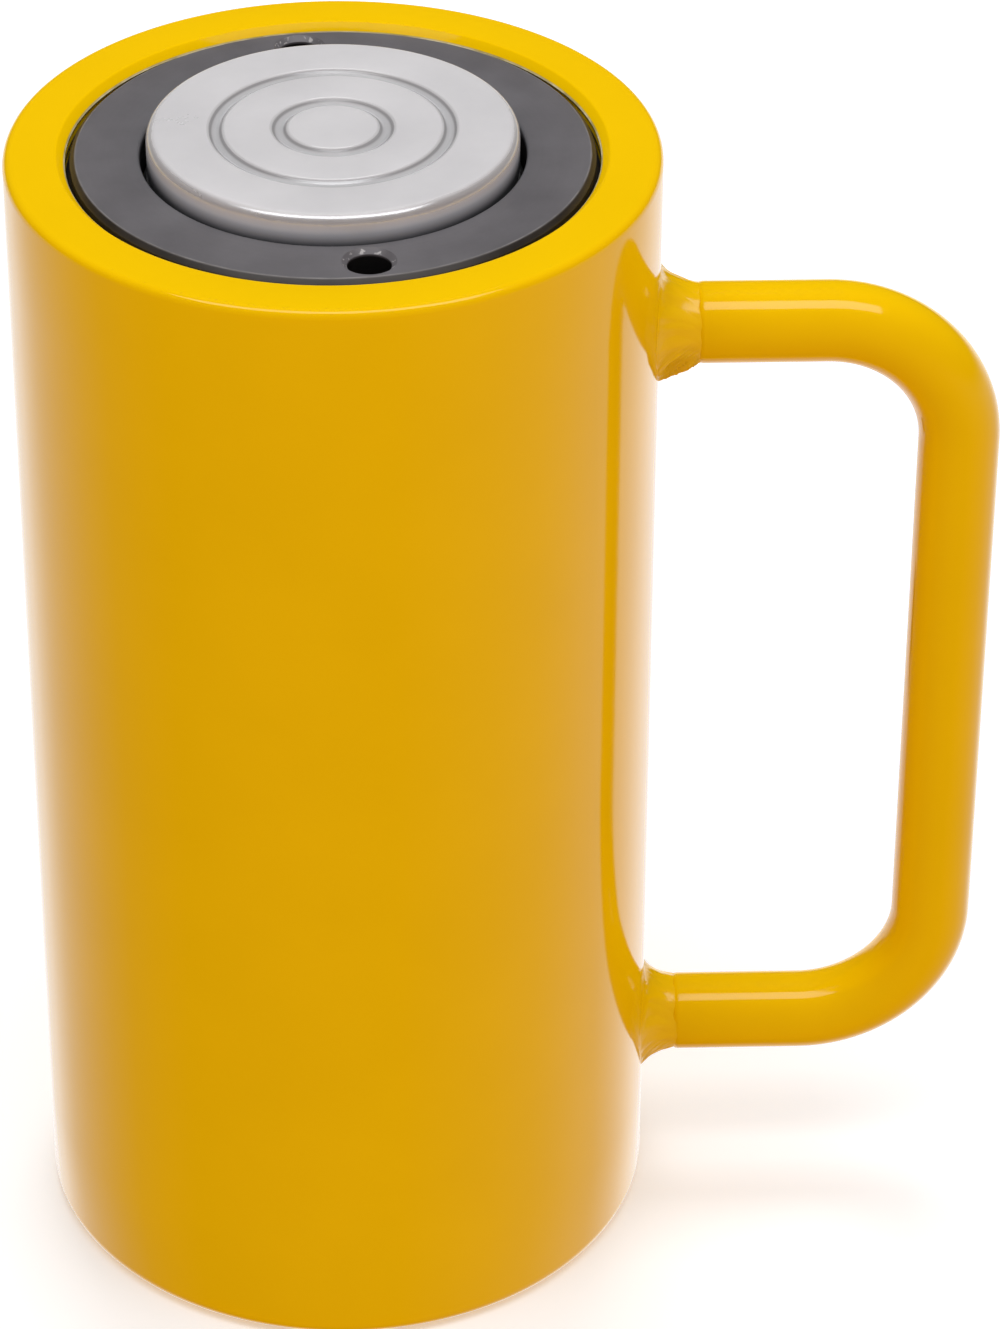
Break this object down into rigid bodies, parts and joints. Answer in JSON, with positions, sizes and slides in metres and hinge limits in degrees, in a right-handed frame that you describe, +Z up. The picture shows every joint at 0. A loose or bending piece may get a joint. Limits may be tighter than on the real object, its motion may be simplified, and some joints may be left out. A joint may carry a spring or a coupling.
{
  "type": "hydraulic cylinder",
  "caption": "Short single-acting hydraulic cylinder with a smooth round barrel, gland nut set just below the rim, grooved saddle on a spring-returned plunger and a welded carry handle.",
  "frame": {"origin": "centre of the base's bottom face, on the plunger axis", "axes": "+Z up along the plunger axis towards the saddle, +X towards the carry handle, +Y towards the oil port"},
  "size_m": [0.1957, 0.167, 0.25],
  "materials": {
    "paint_yellow": "gloss enamel over steel",
    "black_oxide": "blackened, turned",
    "saddle_steel": "zinc plated, satin turned",
    "hard_chrome": "ground and chromed",
    "spring_steel": "oiled spring wire",
    "plated_steel": "zinc plated",
    "bearing_bronze": "machined",
    "seal_rubber": "matte",
    "ring_plastic": "machined",
    "cap_plastic": "moulded, semi-matt"
  },
  "bodies": {
    "cylinder_body": {"barrel": "paint_yellow", "carry_handle": "paint_yellow", "handle_weld_upper": "paint_yellow", "handle_weld_lower": "paint_yellow", "gland_nut": "black_oxide", "rod_wiper": "seal_rubber", "rod_bearing": "bearing_bronze", "gland_o_ring": "seal_rubber", "return_spring": "spring_steel", "lower_spring_anchor": "black_oxide", "lower_anchor_screw": "black_oxide", "coupler_nipple": "plated_steel", "coupler_body": "plated_steel", "coupler_spring": "spring_steel", "coupler_o_ring": "seal_rubber"},
    "plunger_assembly": {"plunger": "hard_chrome", "piston_u_cup": "seal_rubber", "piston_backup_ring": "ring_plastic", "piston_wear_ring": "ring_plastic", "saddle": "saddle_steel", "saddle_retaining_ring": "spring_steel", "upper_spring_anchor": "black_oxide", "upper_anchor_bolt": "black_oxide"},
    "poppet": {"coupler_poppet": "plated_steel"},
    "cap": {"dust_cap": "cap_plastic"}
  },
  "joints": [
    {"name": "plunger_slide", "type": "slide", "parent": "cylinder_body", "child": "plunger_assembly", "axis": [0, 0, 1], "range_m": [0, 0.125], "stiffness_N_per_m": 6900, "springref_m": -0.029, "deforming": ["return_spring"]},
    {"name": "coupler_poppet_slide", "type": "slide", "parent": "cylinder_body", "child": "poppet", "axis": [0, -1, 0], "range_m": [0, 0.0035], "stiffness_N_per_m": 1400, "springref_m": -0.005, "deforming": ["coupler_spring"]},
    {"name": "dust_cap_pull", "type": "slide", "parent": "cylinder_body", "child": "cap", "axis": [0, 1, 0], "range_m": [0, 0.035]}
  ]
}
